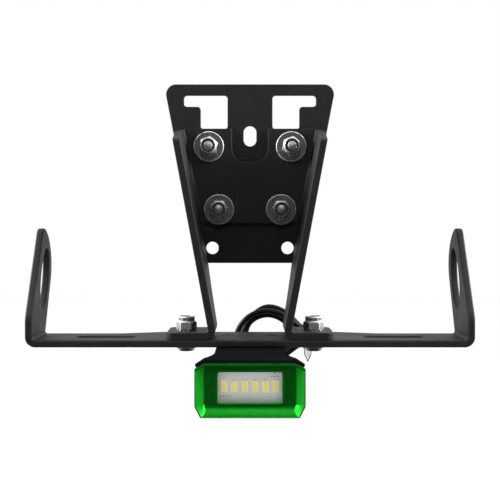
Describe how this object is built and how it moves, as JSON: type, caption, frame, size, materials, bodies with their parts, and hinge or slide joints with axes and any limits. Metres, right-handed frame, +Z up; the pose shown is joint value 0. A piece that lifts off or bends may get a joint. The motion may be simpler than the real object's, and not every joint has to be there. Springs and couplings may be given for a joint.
{
  "type": "tail tidy",
  "caption": "Motorbike tail tidy: undertail plate, folded arm bracket, bar with upturned tabs and oval indicator holes, number plate lamp with LEDs, tied cable.",
  "frame": {"origin": "midway between the two undertail holes, on the rear face of the mounting plate", "axes": "+X across the motorbike, to the right of the picture; +Y through the plate towards the undertail; +Z up the plate towards its wire slot"},
  "size_m": [0.2414, 0.0964, 0.1932],
  "materials": {
    "black_coat": "satin black powder coat with a fine texture",
    "lamp_sheet_black": "smooth satin black paint",
    "green_anodised": "satin green anodising",
    "clear_lens": "clear polycarbonate",
    "board_white": "white solder mask",
    "led_white": "moulded white LED package",
    "led_yellow": "yellow phosphor gel",
    "chip_grey": "small moulded chips",
    "back_black": "black anodised cover",
    "stainless": "bright stainless steel",
    "black_screw": "black oxide",
    "nylon_insert": "grey nylon",
    "cable_black": "satin black sheath",
    "tie_nylon": "translucent natural nylon",
    "connector_black": "moulded black sleeve"
  },
  "bodies": {
    "root": {"mounting_plate": "black_coat", "arm_bracket": "black_coat", "indicator_bar": "black_coat", "lamp_bracket": "lamp_sheet_black", "lamp_housing": "green_anodised", "lamp_lens": "clear_lens", "led_board": "board_white", "led_chips": "led_white", "led_phosphor": "led_yellow", "board_components": "chip_grey", "lamp_back_plate": "back_black", "lamp_back_screws": "black_screw", "plate_bolts": "stainless", "plate_washers": "stainless", "plate_nuts": "stainless", "foot_bolts": "stainless", "foot_nuts": "stainless", "nut_nylon_rings": "nylon_insert", "lamp_bracket_screws": "black_screw", "lamp_bracket_nuts": "black_screw", "lamp_screws": "black_screw", "cable_grommet": "cable_black", "lamp_cable": "cable_black", "cable_coil": "cable_black", "cable_tie": "tie_nylon", "cable_tail": "cable_black", "cable_end_sleeve": "cable_black", "bullet_connectors": "connector_black"}
  },
  "joints": []
}
